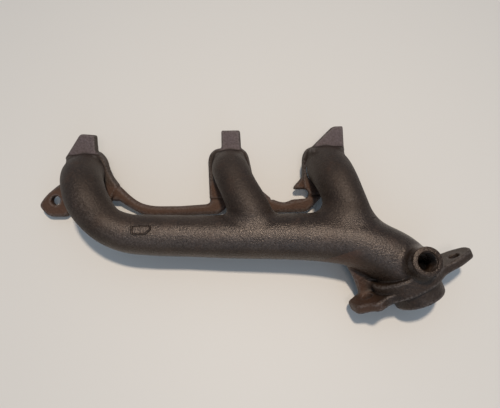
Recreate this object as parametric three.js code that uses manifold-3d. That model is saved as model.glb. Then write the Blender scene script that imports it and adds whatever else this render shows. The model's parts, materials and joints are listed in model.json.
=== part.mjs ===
// Exhaust manifold of a six-cylinder V engine: one bank of three ports, cast in iron.
// The three ports bend into one log, which turns down to a two-bolt outlet flange.
// A casting is one piece of metal, so each mesh here is a named section of that casting,
// and 0.3 mm is left open where one section meets the next.
//
// Everything is laid out in the mating frame: X runs along the row of ports, Y points up
// from the log to the tabs, Z points away from the cylinder head, and the origin is on the
// port face below the middle port. The finished casting is then laid on its resting points.
// All lengths are in millimetres.
import * as THREE from 'three';
import { mergeVertices } from 'three/addons/utils/BufferGeometryUtils.js';
import Module from 'manifold-3d';

const wasm = await Module();
wasm.setup();

// ---- Driving dimensions ---------------------------------------------------------------
const GAP = 0.3;                    // left open between neighbouring sections
const WALL = 5;                     // wall of the gas passages
const PLATE = 10;                   // thickness of port flanges, rails and ear
const PORT_X = [-162, 0, 106];      // the three ports along the row
const PORT_Y = 9;                   // height of the port centres
const PORT_R = 18.5;                // port mouth
const PAD_BOTTOM = -22;             // lower edge of a port flange
const TAB_BASE = 36.8;              // where the tabs begin
const TAB_TOP = 58;                 // top edge of the tabs
const RAIL_TOP = -27;               // upper edge of the rails between the flanges
const RAIL_BOTTOM = -39.5;          // lower edge of the rails
const BOLT_R = 5.4;                 // M10 clearance
const EAR_HOLE = [-198.6, -17.2];   // bolt hole of the mounting ear
const SLOT_END = [84.5, -18.4];     // round end of the open bolt slot
const FINGER_TIP = 72.4;            // end of the finger above that slot
const OUTLET_CENTRE = new THREE.Vector3(179.8, -102.9, 68); // where the log meets its flange
const OUTLET_AXIS = new THREE.Vector3(0.392, -0.914, -0.1).normalize();
const OUTLET_EAR = new THREE.Vector3(0.919, 0.394, 0);      // towards the rear bolt
const OUTLET_PIPE_R = 27.5;
const OUTLET_THICK = 11.5;          // face of the outlet flange, along its axis
const EAR_THICK = 9;                // its two bolt ears
const COLLAR = [33, 30];            // half width and half height of its oval middle
const COLLAR_SHIFT = 6;             // that oval lies this far towards the near ear
const COLLAR_LOW = -6.5;            // back of the oval, along the axis
const OUTLET_BOLTS = 96;            // bolt spacing of the outlet flange
const OUTLET_BORE_R = 20.5;
const SEAT_R = 25.5;                // round seat of the down pipe
const SEAT_END = 26.8;              // its end, along the axis
const BOSS_CENTRE = new THREE.Vector3(181, -84.8, 112);     // middle of the sensor boss face
const BOSS_AXIS = new THREE.Vector3(0, 0.2, 0.98).normalize();
const BOSS_LENGTH = 30;
const BOSS_R = 13.7;
const BOSS_FOOT_R = 17.7;           // the boss widens towards the elbow
const BOSS_HOLE_R = 8.2;            // core of an M18 thread
const WEB_SIDE = 10;                // the web lies this far behind the middle of the flange
const WEB_THICK = 6;                // web between the elbow and the near outlet ear
const PAD_CENTRE = new THREE.Vector3(-87.5, -49.3, 56);     // raised frame on the log
const PAD_LEAN = THREE.MathUtils.degToRad(-20);
const PAD_RAISE = 1.6;

// ---- Fineness of the facets -------------------------------------------------------------
const LOG_STEPS = 54;
const BRANCH_STEPS = 18;
const PIPE_SIDES = 24;
const BORE_SIDES = 16;
const ROUND_SIDES = 32;
const BOLT_SIDES = 24;
const CORNER_STEPS = 10;
const THROUGH = 5;                  // a cut runs this far past the metal on both sides
const FAR = 600;                    // beyond the whole casting

// ---- Solids ---------------------------------------------------------------------------
function solid(geometry) {
  const bare = new THREE.BufferGeometry();
  bare.setAttribute('position', geometry.attributes.position.clone());
  if (geometry.index) bare.setIndex(geometry.index.clone());
  const merged = mergeVertices(bare, 1e-4);
  return new wasm.Manifold(new wasm.Mesh({
    numProp: 3,
    vertProperties: Float32Array.from(merged.attributes.position.array),
    triVerts: Uint32Array.from(merged.index.array),
  }));
}

// A pipe whose radius changes along the way: stations are [x, y, z, radius].
function pipe(stations, extra = 0, steps = BRANCH_STEPS, sides = PIPE_SIDES) {
  const curve = new THREE.CatmullRomCurve3(
    stations.map(([x, y, z]) => new THREE.Vector3(x, y, z)), false, 'centripetal');
  const radii = new THREE.CatmullRomCurve3(
    stations.map(([x, y, z, r]) => new THREE.Vector3(r, 0, 0)), false, 'catmullrom', 0.5);
  const frames = curve.computeFrenetFrames(steps, false);
  const positions = [];
  for (let i = 0; i <= steps; i++) {
    const centre = curve.getPointAt(i / steps);
    const radius = radii.getPoint(curve.getUtoTmapping(i / steps)).x + extra;
    for (let j = 0; j < sides; j++) {
      const angle = (j / sides) * 2 * Math.PI;
      const rim = centre.clone()
        .addScaledVector(frames.normals[i], radius * Math.cos(angle))
        .addScaledVector(frames.binormals[i], radius * Math.sin(angle));
      positions.push(rim.x, rim.y, rim.z);
    }
  }
  const start = curve.getPointAt(0);
  const end = curve.getPointAt(1);
  positions.push(start.x, start.y, start.z, end.x, end.y, end.z);
  const startCentre = (steps + 1) * sides;
  const endCentre = startCentre + 1;
  const index = [];
  for (let j = 0; j < sides; j++) {
    const k = (j + 1) % sides;
    for (let i = 0; i < steps; i++) {
      const a = i * sides + j;
      const b = i * sides + k;
      const c = b + sides;
      const d = a + sides;
      index.push(a, b, c, a, c, d);
    }
    index.push(startCentre, k, j, endCentre, steps * sides + j, steps * sides + k);
  }
  const geometry = new THREE.BufferGeometry();
  geometry.setAttribute('position', new THREE.Float32BufferAttribute(positions, 3));
  geometry.setIndex(index);
  return solid(geometry);
}

// A flat plate parallel to the port face, from z = from to z = to.
function plate(shape, from = 0, to = PLATE) {
  const geometry = new THREE.ExtrudeGeometry(shape, {
    depth: to - from, bevelEnabled: false, curveSegments: CORNER_STEPS,
  });
  geometry.translate(0, 0, from);
  return solid(geometry);
}

// A closed outline through the given corners, each rounded by its own radius: [x, y, radius].
function outline(corners) {
  const shape = new THREE.Shape();
  const n = corners.length;
  corners.forEach(([x, y, r], i) => {
    const corner = new THREE.Vector2(x, y);
    const before = new THREE.Vector2(...corners[(i + n - 1) % n].slice(0, 2));
    const after = new THREE.Vector2(...corners[(i + 1) % n].slice(0, 2));
    const reach = Math.min(r, before.distanceTo(corner) * 0.49, after.distanceTo(corner) * 0.49);
    const from = corner.clone().lerp(before, reach / before.distanceTo(corner));
    const to = corner.clone().lerp(after, reach / after.distanceTo(corner));
    if (i === 0) shape.moveTo(from.x, from.y);
    else shape.lineTo(from.x, from.y);
    if (r > 0) shape.quadraticCurveTo(x, y, to.x, to.y);
  });
  shape.closePath();
  return shape;
}

// A round bar between two distances along an axis that leaves a point. Its foot, at the
// nearer distance, may have a radius of its own.
function bar(point, axis, from, to, radius, sides = ROUND_SIDES, foot = radius) {
  const geometry = new THREE.CylinderGeometry(radius, foot, to - from, sides);
  geometry.rotateX(Math.PI / 2);
  geometry.translate(0, 0, (from + to) / 2);
  const turn = new THREE.Quaternion().setFromUnitVectors(new THREE.Vector3(0, 0, 1), axis);
  geometry.applyQuaternion(turn);
  geometry.translate(point.x, point.y, point.z);
  return solid(geometry);
}

// A large block that fills the space between two values of X, Y or Z.
function block(x0, x1, y0, y1, z0, z1) {
  const geometry = new THREE.BoxGeometry(x1 - x0, y1 - y0, z1 - z0);
  geometry.translate((x0 + x1) / 2, (y0 + y1) / 2, (z0 + z1) / 2);
  return solid(geometry);
}
const between = (x0, x1) => block(x0, x1, -FAR, FAR, -FAR, FAR);
const beyondPlate = block(-FAR, FAR, -FAR, FAR, PLATE + GAP, FAR);

// ---- Gas passages ---------------------------------------------------------------------
const front = PORT_X[0];
const middle = PORT_X[1];
const rear = PORT_X[2];
const outletEnd = OUTLET_CENTRE.clone().addScaledVector(OUTLET_AXIS, 26);
const logPath = [
  [front - 2, PORT_Y + 3.5, -6, 22.3], [front - 2, PORT_Y + 3.5, 6, 22.3],
  [front + 0.2, 7.5, 24, 22.3], [front + 6.8, -4, 41, 22], [front + 15, -20.5, 50, 21.8],
  [front + 32.2, -43.2, 51, 19.6], [front + 54.5, -54, 51, 20.2], [-83, -57, 51, 21.2],
  [-40, -59.4, 51, 21.6], [0, -61.2, 52.5, 22.5], [66, -62.8, 56.5, 23.8],
  [99.5, -64.6, 59.5, 25], [127, -68.4, 63, 26.5], [151, -79, 66.5, 26.8],
  [168.5, -89.8, 67.8, 27.2],
  [OUTLET_CENTRE.x, OUTLET_CENTRE.y, OUTLET_CENTRE.z, OUTLET_PIPE_R],
  [outletEnd.x, outletEnd.y, outletEnd.z, OUTLET_PIPE_R],
];
const middlePath = [
  [middle + 0.5, PORT_Y + 5.2, -6, 20], [middle + 0.5, PORT_Y + 5.2, 8, 20],
  [middle + 2.5, 8.5, 27, 20], [middle + 11, -11, 42, 19.9], [middle + 21.3, -33, 50, 21.3],
  [middle + 33, -60, 52, 21],
];
const rearPath = [
  [rear + 4, PORT_Y + 2.5, -6, 23.6], [rear + 4, PORT_Y + 2.5, 8, 23.6],
  [rear + 6.3, 5, 26, 23], [rear + 9.5, -9, 45, 21.8], [rear + 15, -27, 54, 20.8],
  [rear + 25, -60, 58, 22],
];
const logOuter = pipe(logPath, 0, LOG_STEPS);
const logInner = pipe(logPath, -WALL, LOG_STEPS, BORE_SIDES);
const logClear = pipe(logPath, GAP, LOG_STEPS);
const middleOuter = pipe(middlePath);
const middleInner = pipe(middlePath, -WALL, BRANCH_STEPS, BORE_SIDES);
const rearOuter = pipe(rearPath);
const rearInner = pipe(rearPath, -WALL, BRANCH_STEPS, BORE_SIDES);

// The log is named in five sections: the front runner, one on each side of the middle and
// rear runners, and the elbow. These are the places along X where one ends and the next begins.
const SPLITS = [front + 52, middle - 12, middle + 58, rear + 22];
const beforeOutlet = bar(OUTLET_CENTRE, OUTLET_AXIS, -FAR, COLLAR_LOW - GAP, FAR, 12);
const passages = logInner.add(middleInner).add(rearInner);
const logShell = logOuter.intersect(beyondPlate).intersect(beforeOutlet).subtract(passages);
const logSection = (x0, x1) => logShell.intersect(between(x0 + GAP / 2, x1 - GAP / 2));
const branch = (outer) => outer.intersect(beyondPlate).subtract(logClear).subtract(passages);

// ---- Port flanges, tabs, rails and ear --------------------------------------------------
const away = new THREE.Vector3(0, 0, 1);
const throughPlate = (x, y, radius, sides) =>
  bar(new THREE.Vector3(x, y, 0), away, -THROUGH, PLATE + THROUGH, radius, sides);
const tabs = [
  [[front - 21.5, TAB_BASE, 0], [front + 11.2, TAB_BASE, 0],
    [front + 10.4, TAB_TOP - 1, 2], [front - 7, TAB_TOP + 0.8, 4]],
  [[middle - 9, TAB_BASE, 0], [middle + 14.2, TAB_BASE, 0],
    [middle + 13.6, TAB_TOP - 0.8, 2], [middle - 8.6, TAB_TOP - 0.4, 2]],
  [[rear - 9.8, TAB_BASE, 0], [rear + 25.8, TAB_BASE, 0],
    [rear + 25.4, TAB_TOP + 0.3, 2], [rear + 13.3, TAB_TOP + 0.3, 3]],
];
const pads = [
  [[front - 25, 35, 4], [front - 25.5, -8, 6], [front - 16, PAD_BOTTOM + 1, 5],
    [front + 25.5, PAD_BOTTOM + 1, 3], [front + 36, -2.5, 4], [front + 25.5, 12, 10],
    [front + 21.5, 30, 6], [front + 13, 39, 4]],
  [[middle - 7, 38, 3], [middle - 17, 37, 8], [middle - 25, 28, 9],
    [middle - 24.5, PAD_BOTTOM, 3], [middle + 24, PAD_BOTTOM, 3], [middle + 27.5, 0, 8],
    [middle + 24.5, 17, 10], [middle + 21.5, 32, 10], [middle + 13, 38, 3]],
  [[rear - 15, 36, 6], [rear - 22.5, 27, 8], [rear - 24, -4, 4], [rear - 20, PAD_BOTTOM, 3],
    [rear + 20, PAD_BOTTOM + 2, 6], [rear + 25.5, -6, 8], [rear + 25.5, 35, 4]],
];

// The rails run under the lower edges of the flanges, and are cut clear of them below.
const frontRail = outline([
  [front + 36.2, -3, 0], [front + 47, -14, 8], [front + 58, -22.5, 10], [front + 73, -26.6, 10],
  [-58, RAIL_TOP - 0.4, 6], [middle - 25.4, RAIL_TOP + 1, 4], [middle - 25, PAD_BOTTOM - 0.4, 0],
  [middle + 4, PAD_BOTTOM - 0.4, 0], [middle + 4, PAD_BOTTOM - 2, 0],
  [middle - 13, RAIL_BOTTOM + 0.6, 5], [front + 64, RAIL_BOTTOM, 12], [front + 42, -26, 8],
  [front + 34, PAD_BOTTOM + 0.6, 0], [front + 27, PAD_BOTTOM + 0.6, 0]]);
const rearRail = outline([
  [middle + 27.9, -1, 0], [middle + 34, -10, 4], [middle + 48, -23, 8], [middle + 61, -27.4, 8],
  [rear - 38, -25, 5], [rear - 35.5, -23.8, 3], [rear - 25, -23.4, 0],
  [rear - 19, PAD_BOTTOM - 0.4, 0], [rear - 1, PAD_BOTTOM - 0.4, 0],
  [rear - 3, PAD_BOTTOM - 3, 0], [rear - 15, -36.5, 4], [rear - 19, RAIL_BOTTOM, 5],
  [middle + 34, RAIL_BOTTOM, 8], [middle + 24.5, -28, 4], [middle + 20, PAD_BOTTOM - 0.4, 0]]);
const earOutline = outline([
  [front - 24, 4, 0], [-195, 2.5, 4], [-211, -10, 7], [-220, -22.5, 6], [-209, -36, 6],
  [-187, -36.5, 4], [front - 15, PAD_BOTTOM - 0.5, 0], [front - 15, PAD_BOTTOM + 4, 0]]);
const fingerOutline = outline([
  [rear - 20, 5, 0], [rear - 23.7, 1, 3], [FINGER_TIP, -9.8, 2], [FINGER_TIP, -13.2, 1],
  [rear - 20, -13.2, 0]]);

function surface(shape) {
  const { numProp, vertProperties, triVerts } = shape.getMesh();
  const positions = new Float32Array((vertProperties.length / numProp) * 3);
  for (let i = 0; i < positions.length / 3; i++) {
    for (let k = 0; k < 3; k++) positions[3 * i + k] = vertProperties[numProp * i + k];
  }
  const geometry = new THREE.BufferGeometry();
  geometry.setAttribute('position', new THREE.BufferAttribute(positions, 3));
  geometry.setIndex(new THREE.BufferAttribute(new Uint32Array(triVerts), 1));
  geometry.computeVertexNormals();
  return geometry;
}

const casting = new THREE.Group();
function section(name, shape, material) {
  const mesh = new THREE.Mesh(surface(shape), material);
  mesh.name = name;
  casting.add(mesh);
}
const iron = new THREE.MeshStandardMaterial({ color: 0x3b3330, roughness: 0.6, metalness: 0.35 });
const rusty = new THREE.MeshStandardMaterial({ color: 0x5a3a2c, roughness: 0.8, metalness: 0.15 });

const slotTop = SLOT_END[1] + BOLT_R;
const slotBottom = SLOT_END[1] - BOLT_R;
const slotMouth = FINGER_TIP - 25;
const slot = plate(outline([
  [SLOT_END[0] + BOLT_R, slotTop, 4.4], [slotMouth, slotTop, 0],
  [slotMouth, slotBottom, 0], [SLOT_END[0] + BOLT_R, slotBottom, 4.4]]), -THROUGH, PLATE + THROUGH);
const names = ['front', 'middle', 'rear'];
const padPlates = pads.map((pad, i) =>
  plate(outline(pad)).subtract(throughPlate(PORT_X[i], PORT_Y, PORT_R)).subtract(slot));
// What is left of a piece at a distance of one gap from its neighbours in the same plate.
const clearOf = (piece, ...others) => others.reduce((left, other) => {
  let cut = left;
  for (const [dx, dy] of [[GAP, 0], [-GAP, 0], [0, GAP], [0, -GAP], [0, 0]]) {
    cut = cut.subtract(other.translate([dx, dy, 0]));
  }
  return cut;
}, piece);
padPlates.forEach((pad, i) => section(`port_flange_${names[i]}`, pad, iron));
tabs.forEach((tab, i) => {
  section(`flange_tab_${names[i]}`, clearOf(plate(outline(tab)), plate(outline(pads[i]))), iron);
});
const frontRailPlate = clearOf(plate(frontRail), padPlates[0], padPlates[1]);
const rearRailPlate = clearOf(plate(rearRail), padPlates[1], padPlates[2]).subtract(slot);
section('rail_front', frontRailPlate, rusty);
section('rail_rear', clearOf(rearRailPlate, frontRailPlate), rusty);
const earHole = throughPlate(...EAR_HOLE, BOLT_R, BOLT_SIDES);
section('mounting_ear', clearOf(plate(earOutline), padPlates[0]).subtract(earHole), iron);
section('slot_finger', clearOf(plate(fingerOutline).subtract(slot), padPlates[2], rearRailPlate), iron);

// ---- Pipes ------------------------------------------------------------------------------
section('runner_front', logSection(-FAR, SPLITS[0]), iron);
section('log_front', logSection(SPLITS[0], SPLITS[1]), iron);
section('log_middle', logSection(SPLITS[1], SPLITS[2]), iron);
section('log_rear', logSection(SPLITS[2], SPLITS[3]), iron);
const elbow = logSection(SPLITS[3], FAR);
section('runner_middle', branch(middleOuter), iron);

// ---- Outlet -----------------------------------------------------------------------------
// The flange is laid out in its own directions: towards the rear bolt, towards its upper
// side, and out along the axis of the outlet.
const earAxis = OUTLET_EAR.clone()
  .addScaledVector(OUTLET_AXIS, -OUTLET_EAR.dot(OUTLET_AXIS))
  .normalize();
const sideAxis = new THREE.Vector3().crossVectors(OUTLET_AXIS, earAxis);
const outletFrame = new THREE.Matrix4()
  .makeBasis(earAxis, sideAxis, OUTLET_AXIS)
  .setPosition(OUTLET_CENTRE);
const flangeShape = outline([
  [67, -10, 6], [66, 3, 5], [48, 11.5, 8], [36, 12.5, 5], [29, 14, 5], [21, 21, 8],
  [8, 29, 14], [-14, 30.5, 14], [-26, 24, 8], [-35, 22, 4], [-46, 27, 5], [-53, 18, 4],
  [-65, 12, 5], [-68, -9, 6], [-52, -19, 8], [-36, -22, 8], [-24, -30, 12], [-6, -34, 14],
  [8, -34, 14], [26, -28, 12], [36, -21, 8], [52, -19, 8]]);
const outletPlate = (shape, from, to, matrix = outletFrame) => {
  const geometry = new THREE.ExtrudeGeometry(shape, {
    depth: to - from, bevelEnabled: false, curveSegments: CORNER_STEPS });
  geometry.translate(0, 0, from);
  geometry.applyMatrix4(matrix);
  return solid(geometry);
};
const oval = (extra) => {
  const shape = new THREE.Shape();
  shape.absellipse(-COLLAR_SHIFT, 0, COLLAR[0] + extra, COLLAR[1] + extra, 0, 2 * Math.PI, false);
  return new THREE.Shape(shape.getSpacedPoints(40).slice(1));
};
const along = (radius, from, to, sides) => bar(OUTLET_CENTRE, OUTLET_AXIS, from, to, radius, sides);
const boltHole = (side) => bar(
  OUTLET_CENTRE.clone().addScaledVector(earAxis, side * OUTLET_BOLTS / 2), OUTLET_AXIS,
  COLLAR_LOW - THROUGH, OUTLET_THICK + THROUGH, BOLT_R, BOLT_SIDES);
const outletBore = along(OUTLET_BORE_R, COLLAR_LOW - THROUGH, SEAT_END + THROUGH);
const flange = outletPlate(flangeShape, OUTLET_THICK - EAR_THICK, OUTLET_THICK)
  .add(outletPlate(oval(0), COLLAR_LOW, OUTLET_THICK))
  .subtract(boltHole(-1))
  .subtract(boltHole(1))
  .subtract(outletBore)
  .subtract(along(SEAT_R + GAP, -GAP, SEAT_END + THROUGH, 40));
section('outlet_flange', flange, iron);
section('outlet_seat', along(SEAT_R, 0, SEAT_END, 40).subtract(outletBore), iron);

// ---- Sensor boss, elbow and rear runner ---------------------------------------------------
const bossBody = bar(BOSS_CENTRE, BOSS_AXIS, -BOSS_LENGTH, 0, BOSS_R, ROUND_SIDES, BOSS_FOOT_R);
const bossHole = bar(BOSS_CENTRE, BOSS_AXIS, -BOSS_LENGTH - 2 * THROUGH, THROUGH, BOSS_HOLE_R, BOLT_SIDES);
const flangeClear = along(FAR, COLLAR_LOW - GAP, FAR, 12);
const boss = bossBody
  .subtract(logClear)
  .subtract(pipe(rearPath, GAP))
  .subtract(flangeClear)
  .subtract(bossHole)
  .subtract(logInner);
section('sensor_boss', boss, iron);
section('outlet_elbow', elbow.subtract(bossHole), iron);
section('runner_rear', branch(rearOuter), iron);

// ---- Web and casting pad ------------------------------------------------------------------
// The web is a thin triangle between the underside of the elbow and the near outlet ear.
const webFoot = OUTLET_THICK - EAR_THICK - GAP;
const webShape = outline([
  [-53.5, webFoot, 0], [-8, webFoot, 0], [-8, -20, 0], [-30, -46, 0], [-53, -40, 4],
  [-51.5, -12, 8]]);
const webFrame = new THREE.Matrix4()
  .makeBasis(earAxis, OUTLET_AXIS, sideAxis.clone().negate())
  .setPosition(OUTLET_CENTRE);
const web = outletPlate(webShape, WEB_SIDE - WEB_THICK / 2, WEB_SIDE + WEB_THICK / 2, webFrame)
  .subtract(logClear)
  .subtract(outletPlate(oval(GAP), COLLAR_LOW - GAP, SEAT_END));
section('outlet_web', web, rusty);

// A raised five-sided frame on the front of the log, as high as its own thickness.
const padShape = outline([
  [-10, -6, 2], [6, -6, 1], [7, -3.5, 1], [10, -3, 1], [10, 6, 2], [-10, 6, 2]]);
const padInside = outline([
  [-8, -4, 1.5], [4.5, -4, 0.5], [5.5, -1.5, 0.5], [8, -1, 0.5], [8, 4, 1.5], [-8, 4, 1.5]]);
padShape.holes.push(new THREE.Path(padInside.getPoints(4).reverse()));
const padBlank = new THREE.ExtrudeGeometry(padShape, {
  depth: 40, bevelEnabled: false, curveSegments: 4 });
padBlank.rotateX(PAD_LEAN);
padBlank.translate(PAD_CENTRE.x, PAD_CENTRE.y, PAD_CENTRE.z);
const pad = solid(padBlank).intersect(pipe(logPath, PAD_RAISE, LOG_STEPS)).subtract(logClear);
section('casting_pad', pad, iron);

// ---- Resting pose ---------------------------------------------------------------------------
// Left on a floor, the casting rocks forward about the lower edge of its rails until the
// outlet flange touches. That angle is the smallest one at which any corner meets the floor.
let tilt = Math.PI / 2;
for (const mesh of casting.children) {
  const corner = mesh.geometry.attributes.position;
  for (let i = 0; i < corner.count; i++) {
    const ahead = RAIL_BOTTOM - corner.getY(i);
    if (ahead > PLATE) tilt = Math.min(tilt, Math.atan2(corner.getZ(i), ahead));
  }
}
casting.rotation.x = tilt;
const manifold = new THREE.Group();
manifold.add(casting);
manifold.updateMatrixWorld(true);
const reach = new THREE.Box3().setFromObject(manifold, true);
const centre = reach.getCenter(new THREE.Vector3());
casting.position.set(-centre.x, -centre.y, -reach.min.z);
export default manifold;
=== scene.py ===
# Cast-iron exhaust manifold lying on a pale floor. One bank of a V engine: three ports bend
# into a log, which turns down to a two-bolt outlet flange beside a threaded sensor boss.
import json
import math

import bpy
import numpy as np
from mathutils import Matrix, Vector


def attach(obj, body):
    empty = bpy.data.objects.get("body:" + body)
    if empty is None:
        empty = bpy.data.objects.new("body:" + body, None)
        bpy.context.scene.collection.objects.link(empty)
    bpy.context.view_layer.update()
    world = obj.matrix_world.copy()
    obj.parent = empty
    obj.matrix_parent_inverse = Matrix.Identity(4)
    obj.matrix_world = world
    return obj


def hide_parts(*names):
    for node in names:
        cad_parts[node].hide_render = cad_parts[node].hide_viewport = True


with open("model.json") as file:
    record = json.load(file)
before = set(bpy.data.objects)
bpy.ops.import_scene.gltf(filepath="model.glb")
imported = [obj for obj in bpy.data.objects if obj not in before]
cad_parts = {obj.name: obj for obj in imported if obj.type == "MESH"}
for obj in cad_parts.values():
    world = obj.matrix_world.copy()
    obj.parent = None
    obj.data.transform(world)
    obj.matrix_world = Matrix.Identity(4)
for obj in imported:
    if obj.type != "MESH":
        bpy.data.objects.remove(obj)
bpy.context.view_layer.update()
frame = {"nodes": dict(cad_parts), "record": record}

# ---- Mating frame ------------------------------------------------------------------------------
# Every shape is laid out as the foundry pattern is: in mm, X along the row of ports, Y from
# the log up to the tabs, Z away from the cylinder head, with the origin on the port face.
PORT_X = (-162.0, 0.0, 106.0)
PORT_Y = 9.0
MOUNT_Y = -15.0
mounts = {mount["name"]: mount for mount in frame["record"]["mounts"]}


def spot(name):
    """The place of a mount, in metres."""
    return np.array(mounts[name]["pos_m"], float)


away = -np.array(mounts["port_face_middle"]["axis"], float)
away /= np.linalg.norm(away)
along = spot("port_face_rear") - spot("port_face_front")
along /= np.linalg.norm(along)
TURN = np.stack([along, np.cross(away, along), away])
ORIGIN = spot("port_face_middle") - TURN[1] * MOUNT_Y / 1000


def to_room(points):
    """Points of the mating frame, in mm, as points of the room, in metres."""
    return np.asarray(points) / 1000 @ TURN + ORIGIN


def to_mating(points):
    """Points of the room, in metres, as points of the mating frame, in mm."""
    return (np.asarray(points) - ORIGIN) @ TURN.T * 1000


# ---- Camera ------------------------------------------------------------------------------------
# It looks square onto the port flanges from half a metre away, turned a little clockwise.
CAMERA_PLACE = (22.2, -28.0, 500.0)
CAMERA_ROLL = math.radians(1.8)
FOCAL_SHARE = 431 / 500
level, lean = math.cos(CAMERA_ROLL), math.sin(CAMERA_ROLL)
camera_data = bpy.data.cameras.new("camera")
camera_data.sensor_width = 36
camera_data.lens = FOCAL_SHARE * camera_data.sensor_width
camera_data.clip_start = 0.01
camera = bpy.data.objects.new("camera", camera_data)
bpy.context.scene.collection.objects.link(camera)
placement = np.eye(4)
placement[:3, :3] = (np.array([[level, -lean, 0], [lean, level, 0], [0, 0, 1]]) @ TURN).T
placement[:3, 3] = to_room(CAMERA_PLACE)
camera.matrix_world = Matrix(placement.tolist())
bpy.context.scene.camera = camera

# ---- Metal of the casting ----------------------------------------------------------------------
# The manifold is one grey-iron casting, poured in a sand mould round sand cores, so its
# sections run into each other with fillets. The metal is worked out as one field: the
# distance to the nearest skin, below zero in the iron, at each point of a fine grid.
PITCH = 1.3
MARGIN = 6.0
FAR = 40.0
cad_points = np.vstack([
    np.array([vertex.co for vertex in node.data.vertices], float) for node in frame["nodes"].values()
])
reach = to_mating(cad_points)
START = reach.min(0) - MARGIN
GRID = tuple(np.ceil((reach.max(0) + MARGIN - START) / PITCH).astype(int))
LINES = [START[axis] + PITCH * np.arange(GRID[axis]) for axis in range(3)]
EVERYWHERE = (slice(None),) * 3


def window(low, high):
    """The part of the grid between two corners, as slices."""
    first = np.clip(np.floor((np.asarray(low) - START) / PITCH).astype(int), 0, None)
    last = np.ceil((np.asarray(high) - START) / PITCH).astype(int) + 1
    return tuple(slice(a, b) for a, b in zip(first, last))


def lines(part):
    """X, Y and Z of a part of the grid, each along its own axis, ready to broadcast."""
    x, y, z = (LINES[axis][part[axis]].astype(np.float32) for axis in range(3))
    return x[:, None, None], y[None, :, None], z[None, None, :]


class Casting:
    """The field: depth is the distance to the skin, owner the number of the section at each point."""

    def __init__(self):
        self.depth = np.full(GRID, FAR, np.float32)
        self.nearest = np.full(GRID, FAR, np.float32)
        self.owner = np.zeros(GRID, np.int8)
        self.names = [""]

    def join(self, name, part, depth, fillet):
        """Joins a section. Where its skin meets the rest, metal is added: a quarter of a width,
        times the square of the share of it by which the two distances differ by less than it.
        The width is the fillet times the root of one less the cosine of the angle between the
        two skins, so flush faces stay flush."""
        old = self.depth[part]
        facing = sum(a * b for a, b in zip(np.gradient(old, PITCH), np.gradient(depth, PITCH)))
        wide = np.maximum(fillet * np.sqrt(np.clip(1 - facing, 0, 2)), 1e-3)
        short = np.maximum(wide - np.abs(old - depth), 0) / wide
        self.depth[part] = np.minimum(old, depth) - short * short * wide / 4
        if name not in self.names:
            self.names.append(name)
        closer = depth < self.nearest[part]
        self.nearest[part] = np.where(closer, depth, self.nearest[part])
        self.owner[part] = np.where(closer, self.names.index(name), self.owner[part])

    def cut(self, part, depth):
        """Takes a shape away from the metal, with a sharp edge."""
        self.depth[part] = np.maximum(self.depth[part], -depth)


casting = Casting()

# ---- Log and runners ---------------------------------------------------------------------------
# Gas passages cast round sand cores, 5 mm thick in the wall. The front runner bends into the
# log, the other two run into its back, and the log swells towards the outlet.
WALL = 5.0
PIPE_PIECES = 150
FRONT, MIDDLE, REAR = PORT_X
OUTLET = np.array([179.8, -102.9, 68.0])
OUTLET_AXIS = np.array([0.392, -0.914, -0.1])
OUTLET_AXIS /= np.linalg.norm(OUTLET_AXIS)
OUTLET_PIPE_R = 27.5
PIPE_PAST = 3.0
log_path = [
    [FRONT - 2, PORT_Y + 3.5, -6, 22.3], [FRONT - 2, PORT_Y + 3.5, 6, 22.3],
    [FRONT + 0.2, 7.5, 24, 22.3], [FRONT + 6.8, -4, 41, 22], [FRONT + 15, -20.5, 50, 21.8],
    [FRONT + 32.2, -43.2, 51, 19.6], [FRONT + 54.5, -54, 51, 20.2], [-83, -57, 51, 21.2],
    [-40, -59.4, 51, 21.6], [0, -61.2, 52.5, 22.5], [66, -62.8, 56.5, 23.8],
    [99.5, -64.6, 59.5, 25], [127, -68.4, 63, 26.5], [151, -79, 66.5, 26.8],
    [168.5, -89.8, 67.8, 27.2],
    [*OUTLET, OUTLET_PIPE_R], [*(OUTLET + 26 * OUTLET_AXIS), OUTLET_PIPE_R],
]
middle_path = [
    [MIDDLE + 0.5, PORT_Y + 5.2, -6, 20], [MIDDLE + 0.5, PORT_Y + 5.2, 8, 20],
    [MIDDLE + 2.5, 8.5, 27, 20], [MIDDLE + 11, -11, 42, 19.9], [MIDDLE + 21.3, -33, 50, 21.3],
    [MIDDLE + 33, -60, 52, 21],
]
rear_path = [
    [REAR + 4, PORT_Y + 2.5, -6, 23.6], [REAR + 4, PORT_Y + 2.5, 8, 23.6],
    [REAR + 6.3, 5, 26, 23], [REAR + 9.5, -9, 45, 21.8], [REAR + 15, -27, 54, 20.8],
    [REAR + 25, -60, 58, 22],
]


def curve(stations, count):
    """A centripetal Catmull-Rom curve through stations of x, y, z and radius: each span is a
    cubic whose end slopes come from its two neighbours, timed by the root of the chord."""
    p = np.array(stations, float)
    p = np.vstack([2 * p[0] - p[1], p, 2 * p[-1] - p[-2]])
    time = np.sqrt(np.linalg.norm(np.diff(p[:, :3], axis=0), axis=1))[:, None]
    step = np.diff(p, axis=0) / time
    across = (p[2:] - p[:-2]) / (time[1:] + time[:-1])
    slope = step[:-1] - across + step[1:]
    u = np.linspace(0, len(stations) - 1, count)
    span = np.minimum(u.astype(int), len(stations) - 2)
    t = (u - span)[:, None]
    a, b = p[span + 1], p[span + 2]
    out, into = slope[span] * time[span + 1], slope[span + 1] * time[span + 1]
    return (
        (2 * t**3 - 3 * t**2 + 1) * a + (t**3 - 2 * t**2 + t) * out
        + (3 * t**2 - 2 * t**3) * b + (t**3 - t**2) * into
    )


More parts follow.
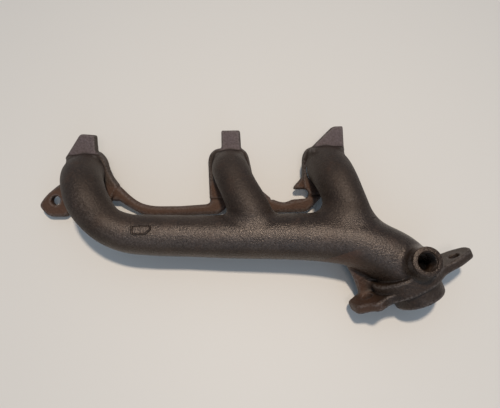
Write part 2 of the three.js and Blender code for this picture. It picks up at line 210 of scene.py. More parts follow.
def pipe(stations, extra=0.0, band=24.0):
    """The distance to a pipe: along each short cone of its path, the distance to the axis less
    the radius there, and over all the cones the smallest."""
    path = curve(stations, PIPE_PIECES)
    path[:, 3] += extra
    depth = np.full(GRID, FAR, np.float32)
    for near, far in zip(path[:-1].astype(np.float32), path[1:].astype(np.float32)):
        reach = max(near[3], far[3]) + band
        part = window(np.minimum(near, far)[:3] - reach, np.maximum(near, far)[:3] + reach)
        way = far - near
        x, y, z = (line - start for line, start in zip(lines(part), near[:3]))
        share = np.clip((x * way[0] + y * way[1] + z * way[2]) / (way[:3] @ way[:3]), 0, 1)
        apart = (x - share * way[0]) ** 2 + (y - share * way[1]) ** 2 + (z - share * way[2]) ** 2
        gap = np.sqrt(apart) - near[3] - share * way[3]
        np.minimum(depth[part], gap, out=depth[part])
    return depth


def outlet_lines(part):
    """The grid in the outlet's own directions: towards its rear bolt, towards its upper side,
    and out along its axis, from the middle of its back face."""
    x, y, z = (line - start for line, start in zip(lines(part), OUTLET.astype(np.float32)))
    return [x * way[0] + y * way[1] + z * way[2] for way in OUTLET_FRAME.astype(np.float32)]


ear_way = np.array([0.919, 0.394, 0])
ear_way -= OUTLET_AXIS * (ear_way @ OUTLET_AXIS)
ear_way /= np.linalg.norm(ear_way)
OUTLET_FRAME = np.stack([ear_way, np.cross(OUTLET_AXIS, ear_way), OUTLET_AXIS])
beyond_outlet = outlet_lines(EVERYWHERE)[2]
beyond_face = np.broadcast_to(lines(EVERYWHERE)[2], GRID)
log = np.maximum(np.maximum(pipe(log_path), beyond_outlet - PIPE_PAST), -beyond_face)
middle_runner = np.maximum(pipe(middle_path), -beyond_face)
rear_runner = np.maximum(pipe(rear_path), -beyond_face)
SPLITS = [FRONT + 52, MIDDLE - 12, MIDDLE + 58, REAR + 22]
log_sections = ["runner_front", "log_front", "log_middle", "log_rear", "outlet_elbow"]
edges = [START[0] - 1, *SPLITS, START[0] + PITCH * GRID[0]]
for name, low, high in zip(log_sections, edges[:-1], edges[1:]):
    part = (slice(*np.searchsorted(LINES[0], [low, high])), slice(None), slice(None))
    casting.join(name, part, log[part], fillet=0)
casting.join("runner_middle", EVERYWHERE, middle_runner, fillet=9)
casting.join("runner_rear", EVERYWHERE, rear_runner, fillet=20)

# ---- Port flanges and tabs ---------------------------------------------------------------------
# Flat plates of the casting, 10 mm thick, machined only where they meet the cylinder head.
# Each carries a tab above its port. The foot of each runner is squared off on the side of
# the tab, as a blunt shoulder that belongs to the runner.
PLATE = 10.0
PORT_R = 18.5
pads = {
    "front": [
        [FRONT - 25, 35, 4], [FRONT - 25.5, -8, 6], [FRONT - 16, -21, 5], [FRONT + 25.5, -21, 3],
        [FRONT + 36, -2.5, 4], [FRONT + 25.5, 12, 10], [FRONT + 21.5, 30, 6], [FRONT + 13, 39, 4]],
    "middle": [
        [-7, 38, 3], [-17, 37, 8], [-25, 28, 9], [-24.5, -22, 3], [24, -22, 3], [27.5, 0, 8],
        [24.5, 17, 10], [21.5, 32, 10], [13, 38, 3]],
    "rear": [
        [REAR - 15, 36, 6], [REAR - 22.5, 27, 8], [REAR - 24, -4, 4], [REAR - 20, -22, 3],
        [REAR + 20, -20, 6], [REAR + 25.5, -6, 8], [REAR + 25.5, 35, 4]],
}
tabs = {
    "front": [[FRONT - 26, 30, 0], [FRONT + 11.3, 30, 0], [FRONT + 10.4, 57, 2], [FRONT - 7, 58.8, 4]],
    "middle": [[-9, 30, 0], [14.3, 30, 0], [13.6, 57.2, 2], [-8.6, 57.6, 2]],
    "rear": [[REAR - 17, 30, 0], [REAR + 26, 30, 0], [REAR + 25.4, 58.3, 2], [REAR + 13.3, 58.3, 3]],
}
shoulders = {
    "runner_front": [
        [FRONT - 24, 0, 8], [FRONT - 23.4, 35, 9], [FRONT + 17, 35.6, 9], [FRONT + 19, 0, 8]],
    "runner_middle": [[-19, 0, 8], [-19, 34, 10], [20, 34.6, 10], [21, 0, 8]],
    "runner_rear": [[REAR - 19, 0, 8], [REAR - 19, 36, 10], [REAR + 27, 36, 10], [REAR + 27, 0, 8]],
}


def outline(corners, steps=8):
    """A closed outline: each corner is a quadratic curve that starts and ends its own radius
    away along the two sides, or just under half a side where that is shorter."""
    corners = [(*corner, 0)[:3] for corner in corners]
    line = []
    for i, (x, y, r) in enumerate(corners):
        at = np.array([x, y], float)
        sides = [np.array(corners[i - 1][:2]) - at, np.array(corners[(i + 1) % len(corners)][:2]) - at]
        first, last = (at + side * min(r / np.linalg.norm(side), 0.49) for side in sides)
        t = np.linspace(0, 1, steps if r else 1)[:, None]
        line.append((1 - t) ** 2 * first + 2 * t * (1 - t) * at + t * t * last)
    return np.vstack(line)


def flat(shape, u, v):
    """The distance to an outline in its own plane: to the nearest side, and below zero inside,
    which a point is if a ray from it crosses the outline an odd number of times."""
    best = np.full(np.broadcast(u, v).shape, np.inf, np.float32)
    inside = np.zeros(best.shape, bool)
    for a, b in zip(shape.astype(np.float32), np.roll(shape, -1, 0).astype(np.float32)):
        side = b - a
        if side @ side < 1e-8:
            continue
        share = np.clip(((u - a[0]) * side[0] + (v - a[1]) * side[1]) / (side @ side), 0, 1)
        apart = (u - a[0] - share * side[0]) ** 2 + (v - a[1] - share * side[1]) ** 2
        best = np.minimum(best, apart)
        if a[1] != b[1]:
            crossing = ((a[1] > v) != (b[1] > v)) & (u < side[0] * (v - a[1]) / side[1] + a[0])
            inside ^= crossing
    return np.where(inside, -1, 1) * np.sqrt(best)


def slab(side, level, low, high, edge):
    """A plate between two levels of an outline whose distance is side, with edges rounded off:
    outside a corner the distance is that of the two together, less the radius of the edge."""
    over = np.abs(level - (low + high) / 2) - (high - low) / 2 + edge
    out = side + edge
    return np.minimum(np.maximum(out, over), 0) + np.hypot(np.maximum(out, 0), np.maximum(over, 0)) - edge


DRAFT = 0.17
SIDE_ROOM = 12.0
LOW_ROOM = 8.0
TOP_ROOM = 14.0


def add_plate(name, corners, edge=1.0, fillet=1.6, top=PLATE, draft=DRAFT):
    """Joins a plate that lies on the port face. Its sides lean in towards the top, by the
    draft that lets the pattern out of the sand."""
    shape = outline(corners)
    low = [*(shape.min(0) - SIDE_ROOM), -LOW_ROOM]
    part = window(low, [*(shape.max(0) + SIDE_ROOM), top + TOP_ROOM])
    x, y, z = lines(part)
    side = flat(shape, x[:, :, :1], y[:, :, :1]) + draft * z
    casting.join(name, part, slab(side, z, 0, top, edge).astype(np.float32), fillet)


for side, corners in pads.items():
    add_plate(f"port_flange_{side}", corners)
for side, corners in tabs.items():
    add_plate(f"flange_tab_{side}", corners, draft=0.1)
for name, corners in shoulders.items():
    add_plate(name, corners, edge=9.0, fillet=6.0, top=26, draft=0.2)

# ---- Rails -------------------------------------------------------------------------------------
# Bars of the casting that tie the three port flanges together, so that the manifold bolts
# down flat. They carry a reddish bloom of rust.
front_rail = [
    [FRONT + 30, -3, 0], [FRONT + 36, -2.5, 0], [FRONT + 47, -14, 8], [FRONT + 58, -22.5, 10],
    [FRONT + 73, -26.6, 10], [-58, -27.4, 6],
    [-25.4, -26, 4], [-21.9, -20], [4, -20], [4, -24], [-13, -38.9, 5], [FRONT + 64, -39.5, 12],
    [FRONT + 42, -26, 8], [FRONT + 34, -20.3], [FRONT + 26, -20]]
rear_rail = [
    [24, -2], [28.6, -1], [34, -10, 4], [48, -23, 8], [61, -27.4, 8], [REAR - 38, -25, 5],
    [REAR - 35.5, -23.8, 3], [REAR - 25, -23.4], [REAR - 21, -20], [REAR + 1, -20], [REAR - 3, -25],
    [REAR - 15, -36.5, 4], [REAR - 19, -39.5, 5], [34, -39.5, 8], [24.5, -28, 4], [20, -20]]
RAIL_EDGE = 3.2
add_plate("rail_front", front_rail, edge=RAIL_EDGE)
add_plate("rail_rear", rear_rail, edge=RAIL_EDGE)

# ---- Mounting ear and slot finger --------------------------------------------------------------
# The ear takes one bolt beside the front port. The finger leaves an open slot below the rear
# port, which drops over a stud of the cylinder head.
BOLT_R = 5.4
EAR_HOLE = (-198.6, -17.2)
SLOT_END = (84.5, -18.4)
SLOT_MOUTH = 46.0
FINGER_THICK = 8.2
ear = [
    [FRONT - 22, 4], [FRONT - 26, 4], [-195, 2.5, 4], [-211, -10, 7], [-220, -22.5, 6],
    [-209, -36, 6], [-187, -36.5, 4], [FRONT - 15, -22.5], [FRONT - 15, -16]]
finger = [[REAR - 20, 5], [REAR - 23.7, 1, 3], [72.4, -9.8, 2], [72.4, -13.2, 1], [REAR - 20, -13.2]]


def round_hole(centre, radius):
    """The distance to a round hole seen along its axis."""
    return lambda u, v: np.hypot(u - centre[0], v - centre[1]) - radius


def open_slot(x, y):
    """The distance to a slot that starts at its mouth and ends in half a circle."""
    return np.maximum(np.hypot(np.maximum(x - SLOT_END[0], 0), y - SLOT_END[1]) - BOLT_R, SLOT_MOUTH - x)


add_plate("mounting_ear", ear, edge=1.5)
add_plate("slot_finger", finger, top=FINGER_THICK)

# ---- Outlet flange, seat and web ---------------------------------------------------------------
# A two-bolt flange closes the log. A round seat for the ring gasket of the down pipe stands
# on its face, and a thin web ties the near ear to the log.
OUTLET_R = 34.0
OUTLET_THICK = 11.5
EAR_LOW = 2.5
BORE_R = 20.5
SEAT_R = 25.5
SEAT_END = 26.8
SEAT_SUNK = 4.0
BOLT_SPACING = 96.0
WEB_LOW = -13.0
WEB_HIGH = -7.0
outlet_shape = [
    [67, -10, 6], [66, 3, 5], [48, 11.5, 8], [36, 12.5, 5], [29, 14, 5], [21, 21, 8], [8, 29, 14],
    [-14, 30.5, 14], [-26, 24, 8], [-35, 22, 4], [-46, 27, 5], [-53, 18, 4], [-65, 12, 5], [-68, -9, 6],
    [-52, -19, 8], [-36, -22, 8], [-24, -30, 12], [-6, -34, 14], [8, -34, 14], [26, -28, 12],
    [36, -21, 8], [52, -19, 8]]
web_shape = [[-53.5, 4], [-8, 4], [-8, -20], [-30, -46], [-53, -40, 4], [-51.5, -12, 8]]
COLLAR = (33.0, 30.0)
COLLAR_SHIFT = 6.0
COLLAR_LOW = -6.5
OUTLET_EDGE = 1.2
OUTLET_FILLET = 1.2
outlet_part = window(OUTLET - 100, OUTLET + 90)
ear_u, side_v, axis_w = outlet_lines(outlet_part)
plate_side = flat(outline(outlet_shape), ear_u, side_v)
plate_depth = slab(plate_side, axis_w, EAR_LOW, OUTLET_THICK, OUTLET_EDGE)
collar_side = (np.hypot((ear_u + COLLAR_SHIFT) / COLLAR[0], side_v / COLLAR[1]) - 1) * COLLAR[1]
collar_depth = slab(collar_side, axis_w, COLLAR_LOW, OUTLET_THICK, edge=2.0)
casting.join("outlet_flange", outlet_part, np.minimum(plate_depth, collar_depth), OUTLET_FILLET)
seat_side = np.hypot(ear_u, side_v) - SEAT_R
seat_depth = slab(seat_side, axis_w, OUTLET_THICK - SEAT_SUNK, SEAT_END, edge=1.0)
casting.join("outlet_seat", outlet_part, seat_depth, OUTLET_FILLET)
web_depth = slab(flat(outline(web_shape), ear_u, axis_w), side_v, WEB_LOW, WEB_HIGH, edge=1.5)
casting.join("outlet_web", outlet_part, web_depth, fillet=5.0)

# ---- Sensor boss -------------------------------------------------------------------------------
# A round boss on the elbow takes the oxygen sensor. Its face and its thread are machined.
BOSS = np.array([181.0, -84.8, 112.0])
BOSS_AXIS = np.array([0.0, 0.2, 0.98])
BOSS_AXIS /= np.linalg.norm(BOSS_AXIS)
BOSS_R = 13.7
BOSS_CAST_R = 13.2
BOSS_FLARE = 0.14
RIM = 5.0
THREAD_R = 8.2
THREAD_DEEP = 0.75
THREAD_PITCH = 1.5
THREAD_END = -17.0
BOSS_FOOT = -34.0
BOSS_CAST_TOP = -2.0
SENSOR_HOLE_END = -45.0
boss_part = window(BOSS - 60, BOSS + 12)
x, y, z = (line - start for line, start in zip(lines(boss_part), BOSS.astype(np.float32)))
boss_height = x * BOSS_AXIS[0] + y * BOSS_AXIS[1] + z * BOSS_AXIS[2]
boss_side = np.sqrt(np.maximum(x * x + y * y + z * z - boss_height**2, 0))
boss_wall = boss_side - BOSS_CAST_R + BOSS_FLARE * boss_height
boss_depth = slab(boss_wall, boss_height, BOSS_FOOT, BOSS_CAST_TOP, edge=1.0)
casting.join("sensor_boss", boss_part, boss_depth.astype(np.float32), fillet=6.0)

# ---- Cores, ports and bolt holes ---------------------------------------------------------------
# The sand cores leave the passages. The ports, the outlet and the bolt holes are cut through
# their flanges afterwards, and the sensor's hole through the boss.
CORE_BAND = 3.0
CORE_SHORT = 2.0
CUT_PAST = 4.0
BOLT_CUT_PAST = 12.0
SLEEVE_ROOM = 2.0
SLEEVE_STEP = 1.0
passages = pipe(log_path, -WALL, CORE_BAND)
for path in (middle_path, rear_path):
    passages = np.minimum(passages, pipe(path, -WALL, CORE_BAND))
passages = np.maximum(passages, beyond_outlet + CORE_SHORT)
casting.cut(EVERYWHERE, passages)
x, y, z = lines(EVERYWHERE)
for port in PORT_X:
    hole = round_hole((port, PORT_Y), PORT_R)(x, y)
    casting.cut(EVERYWHERE, np.maximum(hole, z - PLATE - CUT_PAST))
casting.cut(EVERYWHERE, np.maximum(round_hole(EAR_HOLE, BOLT_R)(x, y), z - PLATE - CUT_PAST))
casting.cut(EVERYWHERE, np.maximum(open_slot(x, y), z - PLATE - CUT_PAST))
casting.cut(outlet_part, np.maximum(np.hypot(ear_u, side_v) - BORE_R, -axis_w - CUT_PAST))
for bolt in (-BOLT_SPACING / 2, BOLT_SPACING / 2):
    hole = np.hypot(ear_u - bolt, side_v) - BOLT_R
    casting.cut(outlet_part, np.maximum(hole, -axis_w - BOLT_CUT_PAST))
sleeve = np.maximum(boss_side - THREAD_R - SLEEVE_ROOM, -boss_height + THREAD_END + SLEEVE_STEP)
casting.cut(boss_part, sleeve)
casting.cut(boss_part, np.maximum(boss_side - THREAD_R, -boss_height + SENSOR_HOLE_END))

# ---- Skin --------------------------------------------------------------------------------------
# The skin is drawn where the field changes sign: one point in each cell of the grid that it
# passes through, moved onto the zero of the field, and one face for each grid line that it
# crosses. The same is done inside the metal where one section ends, so each is closed.
depth = casting.depth
labels = np.where(depth < 0, casting.owner, 0).astype(np.int16)
slopes = np.gradient(depth, PITCH)


def read(values, places):
    """The value of the grid at places given in cells: the mean of the eight points around
    each, weighted by how near it is to them."""
    base = np.clip(np.floor(places).astype(int), 0, np.array(GRID) - 2)
    part = places - base
    total = 0
    for corner in np.ndindex(2, 2, 2):
        share = np.prod(np.where(corner, part, 1 - part), axis=1)
        total = total + share * values[tuple((base + corner).T)]
    return total


def crossings(axis, changed):
    """The grid lines along an axis whose two ends differ, by the cell at their lower end."""
    found = np.argwhere(changed)
    others = [(axis + 1) % 3, (axis + 2) % 3]
    beside = found[:, others]
    inner = np.all(beside > 0, axis=1) & np.all(beside < np.array(GRID)[others] - 1, axis=1)
    return found[inner]


def around(found, axis):
    """The four cells round each grid line along an axis, in the order of a right-handed turn
    about it."""
    b, c = (axis + 1) % 3, (axis + 2) % 3
    steps = np.zeros((4, 3), int)
    steps[:, b] = [-1, 0, 0, -1]
    steps[:, c] = [-1, -1, 0, 0]
    cells = found[:, None, :] + steps
    return np.ravel_multi_index(tuple(np.moveaxis(cells, 2, 0)), GRID)


FAINT = 1e-6
SETTLING_ROUNDS = 3
LONGEST_STEP = 0.4
GENTLEST_SLOPE = 0.2
quads, owners, marks, mark_cells, mark_weights = [], [], [], [], []
for axis in range(3):
    low = [slice(None)] * 3
    high = [slice(None)] * 3
    low[axis], high[axis] = slice(None, -1), slice(1, None)
    low, high = tuple(low), tuple(high)
    found = crossings(axis, labels[low] != labels[high])
    ahead = found.copy()
    ahead[:, axis] += 1
    first, second = labels[tuple(found.T)], labels[tuple(ahead.T)]
    at_first, at_second = depth[tuple(found.T)], depth[tuple(ahead.T)]
    skin = (first == 0) != (second == 0)
    share = np.where(skin, at_first / np.where(skin, at_first - at_second, 1), 0.5)
    mark = found.astype(float)
    mark[:, axis] += share
    ring = around(found, axis)
    quads += [ring[first > 0], ring[second > 0][:, ::-1]]
    owners += [first[first > 0], second[second > 0]]
    marks.append(np.repeat(mark, 4, axis=0))
    mark_cells.append(ring.ravel())
    mark_weights.append(np.repeat(np.where(skin, 1.0, FAINT), 4))
quads, owners = np.vstack(quads), np.concatenate(owners)
marks, mark_weights = np.vstack(marks), np.concatenate(mark_weights)
cells, index = np.unique(np.concatenate(mark_cells), return_inverse=True)
weight = np.bincount(index, mark_weights)
spots = np.stack([np.bincount(index, mark_weights * marks[:, k]) for k in range(3)], 1)
spots /= weight[:, None]
on_skin = weight > 0.5
for _ in range(SETTLING_ROUNDS):
    slope = np.stack([read(values, spots) for values in slopes], 1)
    step = read(depth, spots) / np.maximum((slope**2).sum(1), GENTLEST_SLOPE)
    step = np.clip(step, -LONGEST_STEP, LONGEST_STEP) * on_skin
    spots = spots - step[:, None] * slope / PITCH
normals = np.stack([read(values, spots) for values in slopes], 1)
normals /= np.maximum(np.linalg.norm(normals, axis=1), 1e-6)[:, None]
bend = sum(np.gradient(values, PITCH)[k] for k, values in enumerate(slopes))
curving = read(bend, spots)
mating_spots = START + PITCH * spots
room_spots = to_room(mating_spots)
room_normals = normals @ TURN
quads = np.searchsorted(cells, quads)

# ---- Iron --------------------------------------------------------------------------------------
# Grey iron as it leaves the sand: dark brown grey and granular. The runners are matt, a highlight
# is painted paler along the top of the log, the rails and the near ear of the outlet are rusty, and
# a sheen is painted paler on the faces of the tabs.
BROWN = (0.014, 0.007, 0.0035)
WARM_BROWN = (0.026, 0.015, 0.009)
GRAIN_BROWN = (0.052, 0.034, 0.024)
# Paler grey: the highlight painted along the top of the log.
LOG_HIGHLIGHT_GREY = (0.135, 0.112, 0.100)
RUST_RED = (0.074, 0.032, 0.017)
# Paler grey: the sheen painted on the faces of the tabs.
TAB_SHEEN_GREY = (0.105, 0.080, 0.085)
# Lighter grey of the edges: partly wear, partly a painted highlight.
EDGE_WEAR_GLINT_GREY = (0.12, 0.10, 0.09)
HOLLOW_BROWN = (0.010, 0.006, 0.004)
GLOSS_TINT = (1.0, 0.86, 0.76, 1)
GRAIN_DEEP = 0.0006


class Shade:
    """A shader socket worked on with Python operators: each operator adds its Math node."""

    def __init__(self, tree, socket=None):
        self.tree = tree
        self.socket = socket

    def node(self, kind, settings=(), sockets=(), output=0):
        """Any other node: its settings first, a ramp's stops among them, then its sockets."""
        made = self.tree.nodes.new("ShaderNode" + kind)
        for key, value in dict(settings).items():
            if key == "stops":
                while len(made.color_ramp.elements) < len(value):
                    made.color_ramp.elements.new(0.5)
                for element, (place, colour) in zip(made.color_ramp.elements, value):
                    element.position = place
                    element.color = (*colour, 1)
            else:
                setattr(made, key, value)
        for key, value in dict(sockets).items():
            if isinstance(value, Shade):
                self.tree.links.new(value.socket, made.inputs[key])
            else:
                made.inputs[key].default_value = value
        return Shade(self.tree, made.outputs[output])

    def math(self, operation, *values, clamp=False):
        return self.node("Math", {"operation": operation, "use_clamp": clamp}, enumerate(values))

    def __add__(self, other):
        return self.math("ADD", self, other)

    def __sub__(self, other):
        return self.math("SUBTRACT", self, other)

    def __mul__(self, other):
        return self.math("MULTIPLY", self, other)

    def __rsub__(self, other):
        return self.math("SUBTRACT", other, self)

    __radd__ = __add__
    __rmul__ = __mul__

    def clamp(self):
        return self.math("ADD", self, 0.0, clamp=True)

    def between(self, low, high):
        """0 below low, 1 above high, and a smooth rise between them."""
        return self.node("MapRange", {"interpolation_type": "SMOOTHSTEP"}, {0: self, 1: low, 2: high})

    def mix(self, a, b):
        """Colour a where this is 0 and colour b where it is 1."""
        a, b = ((*c, 1) if isinstance(c, tuple) else c for c in (a, b))
        return self.node("Mix", {"data_type": "RGBA"}, {0: self, 6: a, 7: b}, output=2)


def iron_finish(name):
    """The finish of the casting, as a material."""
    material = bpy.data.materials.new(name)
    material.use_nodes = True
    tree = material.node_tree
    tree.nodes.clear()
    root = Shade(tree)
    place = root.node("TexCoord", output=3)
    wear, rust, bare, matt, rubbed = (
        root.node("Attribute", {"attribute_name": tone}, output=2)
        for tone in ("wear", "rust", "bare", "matt", "rubbed")
    )

    def noise(scale, detail=3.0, rough=0.55):
        sockets = {"Vector": place, "Scale": scale, "Detail": detail, "Roughness": rough}
        return root.node("TexNoise", {}, sockets)

    cloud = noise(22, 4)
    patch = noise(60, 4, 0.6)
    grain = noise(480, 3, 0.65)
    fine = noise(1300, 2, 0.6)
    colour = cloud.between(0.35, 0.65).mix(BROWN, WARM_BROWN)
    speck = grain.between(0.45, 0.72)
    colour = (speck * 0.5).clamp().mix(colour, GRAIN_BROWN)
    # A highlight painted paler along the top of the log, speckled with the grain.
    shine = rubbed * (fine.between(0.30, 0.70) * 0.30 + grain.between(0.30, 0.70) * 0.15)
    colour = shine.mix(colour, LOG_HIGHLIGHT_GREY)
    rusty = (rust * 0.8 + patch.between(0.52, 0.8) * 0.2 + rust * (grain - 0.5) * 1.0).clamp()
    colour = rusty.mix(colour, RUST_RED)
    # A sheen painted paler on the faces of the tabs.
    colour = (bare * 0.7 + bare * (grain - 0.5) * 1.4).clamp().mix(colour, TAB_SHEEN_GREY)
    # Edges painted lighter: partly wear, partly a painted highlight.
    edge = (wear.between(0.06, 0.30) * grain.between(0.35, 0.6) * 0.5).clamp()
    colour = edge.mix(colour, EDGE_WEAR_GLINT_GREY)
    # Darker in the hollows of the skin.
    hollow = (wear * -1.0).between(0.06, 0.30) * 0.85
    colour = hollow.clamp().mix(colour, HOLLOW_BROWN)
    roughness = 0.27 + matt * 0.24 + patch.between(0.3, 0.7) * 0.08
    roughness = roughness + rusty * 0.2 + bare * 0.1 + (fine - 0.5) * 0.25
    height = grain * 1.0 + fine * 0.4 + patch * 0.8
    bump = root.node("Bump", {}, {"Strength": 1.0, "Distance": GRAIN_DEEP, "Height": height})
    shader = root.node(
        "BsdfPrincipled",
        {},
        {
            "Base Color": colour, "Roughness": roughness, "Metallic": 0.1, "Normal": bump,
            "Specular IOR Level": 0.5, "Specular Tint": GLOSS_TINT,
        },
    )
    out = tree.nodes.new("ShaderNodeOutputMaterial")
    tree.links.new(shader.socket, out.inputs["Surface"])
    return material


def step_up(values, low, high):
    """0 below low, 1 above high, and a smooth rise between them."""
    t = np.clip((values - low) / (high - low), 0, 1)
    return t * t * (3 - 2 * t)


cast_iron = iron_finish("cast_iron")
x, y, z = mating_spots.T
facing = normals[:, 2]
on_plate = 1 - step_up(z, 10.5, 13)
ear_spots, _, face_spots = ((mating_spots - OUTLET) @ OUTLET_FRAME.T).T

# Rust: the plates below the ports, and the near ear of the outlet with its web.
near_ear = (1 - step_up(ear_spots, -52, -34)) * (face_spots > -50)
rust_amount = np.maximum(on_plate * (1 - step_up(y, -8, 4)) * 0.8, near_ear * 0.7)

# Painted sheen: the faces of the tabs, painted paler where they face away from the head, towards the
# camera.
tab_sheen_amount = on_plate * step_up(y, 33.5, 35) * step_up(facing, 0.5, 0.9)

# Matt skin: the runners, the front end of the log and, less so, the outlet flange.
matt_amount = np.maximum(step_up(y, -50, -32), 1 - step_up(x, -140, -100))
matt_amount = np.maximum(matt_amount, step_up(face_spots, -10, -2) * 0.6)

# Painted highlight: the top of the log where it faces the camera, up to the outlet flange.
log_highlight_amount = (1 - matt_amount) * step_up(facing, 0.78, 0.99) * step_up(z, 60, 70)
log_highlight_amount = log_highlight_amount * (1 - step_up(face_spots, -16, -7))
tones = {
    # Curvature: where it rises, edge wear and a painted edge highlight; where it falls, the darker
    # hollows.
    "wear": np.clip(curving, -0.6, 0.6),
    "rust": rust_amount,
    "bare": tab_sheen_amount,
    "matt": matt_amount,
    "rubbed": log_highlight_amount,
}


def skin_piece(name, finish):
    """The closed skin of one section as an object, shaded with the slope of the field."""
    mine = quads[owners == casting.names.index(name)]
    used, corners = np.unique(mine, return_inverse=True)
    mesh = bpy.data.meshes.new("iron_" + name)
    mesh.from_pydata(room_spots[used].tolist(), [], corners.reshape(-1, 4).tolist())
    mesh.polygons.foreach_set("use_smooth", np.ones(len(mine), bool))
    for tone, values in tones.items():
        layer = mesh.attributes.new(tone, "FLOAT", "POINT")
        layer.data.foreach_set("value", values[used].astype(np.float32))
    mesh.normals_split_custom_set_from_vertices(room_normals[used].tolist())
    mesh.materials.append(finish)
    piece = bpy.data.objects.new("iron_" + name, mesh)
    bpy.context.scene.collection.objects.link(piece)
    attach(piece, "root")
    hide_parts(name)
    return piece


RUSTY = ("rail_front", "rail_rear", "outlet_web")
for name in casting.names[1:]:
    piece = skin_piece(name, cast_iron)
    "rust_iron" if name in RUSTY else "dark_iron"

# ---- Boss rim ----------------------------------------------------------------------------------
# The upper end of the sensor boss is turned: a flat sealing face with broken edges, and an
# M18 thread down its hole.


def sheet(name, points, replaced, finish, crease=math.radians(40)):
    """A closed surface from a grid of points that wraps round both ways, as an object."""
    rows, columns = points.shape[:2]
    here = np.arange(rows * columns).reshape(rows, columns)
    below, right = np.roll(here, -1, 0), np.roll(here, -1, 1)
    faces = np.stack([here, right, np.roll(below, -1, 1), below], 2).reshape(-1, 4)
    mesh = bpy.data.meshes.new(name)
    mesh.from_pydata(to_room(points.reshape(-1, 3)).tolist(), [], faces.tolist())
    mesh.polygons.foreach_set("use_smooth", np.ones(len(faces), bool))
    for tone in tones:
        mesh.attributes.new(tone, "FLOAT", "POINT")
    mesh.materials.append(finish)
    mesh.set_sharp_from_angle(angle=crease)
    piece = bpy.data.objects.new(name, mesh)
    bpy.context.scene.collection.objects.link(piece)
    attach(piece, "root")
    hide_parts(replaced)
    return piece


TURN_STEPS = 96
CLIMB_STEPS = 150
THREAD_TOP = -1.6
THREAD_FADE = 2.0
turns = np.linspace(0, 2 * np.pi, TURN_STEPS, endpoint=False)[None, :]
climb = np.linspace(THREAD_END, THREAD_TOP, CLIMB_STEPS)[:, None]
phase = (climb / THREAD_PITCH + turns / (2 * np.pi)) % 1
fade = np.clip((climb - THREAD_END) / THREAD_FADE, 0, 1)
thread = THREAD_R + THREAD_DEEP * (1 - np.abs(2 * phase - 1)) * fade
turned = np.array([
    [THREAD_R + 0.8, -1.2], [THREAD_R + 1.3, -0.4], [THREAD_R + 1.5, 0],
    [BOSS_R - 0.7, 0], [BOSS_R - 0.2, -0.3], [BOSS_R, -0.9], [BOSS_R, -RIM + 0.5],
    [BOSS_R - 0.4, -RIM], [BOSS_R - 2, -RIM], [BOSS_R - 2.6, -RIM - 0.8],
    [BOSS_R - 3, THREAD_END - 0.5], [THREAD_R + 0.5, THREAD_END - 0.5]])
ring = np.ones_like(turns)
radius = np.vstack([thread, turned[:, :1] * ring])
height = np.vstack([climb * ring, turned[:, 1:] * ring])
boss_x = np.cross([0, 1, 0], BOSS_AXIS)
boss_x /= np.linalg.norm(boss_x)
boss_y = np.cross(BOSS_AXIS, boss_x)
around_boss = np.cos(turns)[..., None] * boss_x + np.sin(turns)[..., None] * boss_y
rim_points = BOSS + radius[..., None] * around_boss + height[..., None] * BOSS_AXIS
sheet("boss_rim", rim_points[:, ::-1], "sensor_boss", cast_iron)

# ---- Casting pad -------------------------------------------------------------------------------
# A raised frame on the log, left by a plate let into the pattern. Here it is a low bead that
# follows the skin of the log.
PAD_CENTRE = (-87.5, -49.3, 72.0)
BEAD_STEPS = 160
BEAD_SIDES = 12
BEAD_WIDE = 1.3
BEAD_HIGH = 1.8
BEAD_SUNK = 0.3
pad_corners = [
    [-9.2, -5, 3], [5.6, -5, 1.5], [6.4, -2.4, 1.5], [9.2, -1.8, 1.5], [9.2, 5, 3], [-9.2, 5, 3]]
pad_line = outline(pad_corners, steps=12)
pad_line = np.vstack([pad_line, pad_line[:1]])
run = np.concatenate([[0], np.cumsum(np.linalg.norm(np.diff(pad_line, axis=0), axis=1))])
stops = np.linspace(0, run[-1], BEAD_STEPS, endpoint=False)
pad_line = np.stack([np.interp(stops, run, pad_line[:, k]) for k in range(2)], 1)
bead = np.column_stack([pad_line, np.zeros(len(pad_line))]) + PAD_CENTRE
for _ in range(12):
    cell = (bead - START) / PITCH
    slope = np.stack([read(values, cell) for values in slopes], 1)
    bead = bead - read(depth, cell)[:, None] * slope
slope = np.stack([read(values, (bead - START) / PITCH) for values in slopes], 1)
slope /= np.linalg.norm(slope, axis=1)[:, None]
course = np.roll(bead, -1, 0) - np.roll(bead, 1, 0)
across = np.cross(course, slope)
across /= np.linalg.norm(across, axis=1)[:, None]
swing = np.linspace(0, 2 * np.pi, BEAD_SIDES, endpoint=False)
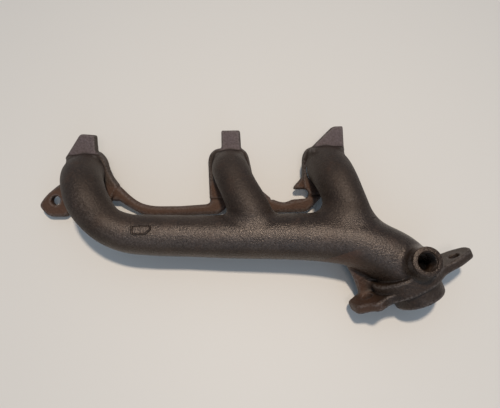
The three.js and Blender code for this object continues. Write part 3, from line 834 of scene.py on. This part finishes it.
bead_points = (
    bead[:, None] + BEAD_WIDE * np.cos(swing)[None, :, None] * across[:, None]
    + (BEAD_HIGH * np.sin(swing) - BEAD_SUNK)[None, :, None] * slope[:, None]
)
sheet("pad_bead", bead_points, "casting_pad", cast_iron)

# ---- Floor and light ---------------------------------------------------------------------------
# A plain pale floor. A small warm lamp overhead makes the sharp light, a weak one in front
# fills it, and a bluish window and sky light the shadows.
FLOOR_HALF = 6.0
FLOOR_PAINT = (0.62, 0.585, 0.535, 1)
SKY = (0.60, 0.78, 1.0, 1)
floor_mesh = bpy.data.meshes.new("floor")
floor_ends = [(-1, -1), (1, -1), (1, 1), (-1, 1)]
floor_points = [(across * FLOOR_HALF, back * FLOOR_HALF, 0) for across, back in floor_ends]
floor_mesh.from_pydata(floor_points, [], [(0, 1, 2, 3)])
floor = bpy.data.objects.new("floor", floor_mesh)
bpy.context.scene.collection.objects.link(floor)
floor_finish = bpy.data.materials.new("floor_paint")
floor_finish.use_nodes = True
paint = floor_finish.node_tree.nodes["Principled BSDF"]
paint.inputs["Base Color"].default_value = FLOOR_PAINT
paint.inputs["Roughness"].default_value = 0.6
floor_mesh.materials.append(floor_finish)


def lamp(name, place, aim, size, power, colour):
    """A round soft lamp at a place, turned towards a point."""
    data = bpy.data.lights.new(name, "AREA")
    data.shape = "DISK"
    data.size = size
    data.energy = power
    data.color = colour
    made = bpy.data.objects.new(name, data)
    made.location = place
    made.rotation_euler = (Vector(aim) - Vector(place)).to_track_quat("-Z", "Y").to_euler()
    bpy.context.scene.collection.objects.link(made)


lamp("lamp_key", (0.05, 0.12, 1.6), (0, 0, 0), 0.14, 19, (1.0, 0.88, 0.75))
lamp("lamp_front", (0.12, -0.62, 1.34), (0, 0, 0), 0.3, 1.9, (1.0, 0.92, 0.90))
lamp("lamp_window", (0.5, -1.8, 0.9), (0, 0, 0), 1.0, 3, (0.40, 0.66, 1.0))
world = bpy.data.worlds.new("sky")
world.use_nodes = True
sky = world.node_tree.nodes["Background"]
sky.inputs["Color"].default_value = SKY
sky.inputs["Strength"].default_value = 0.42
bpy.context.scene.world = world
bpy.context.scene.view_settings.view_transform = "Standard"
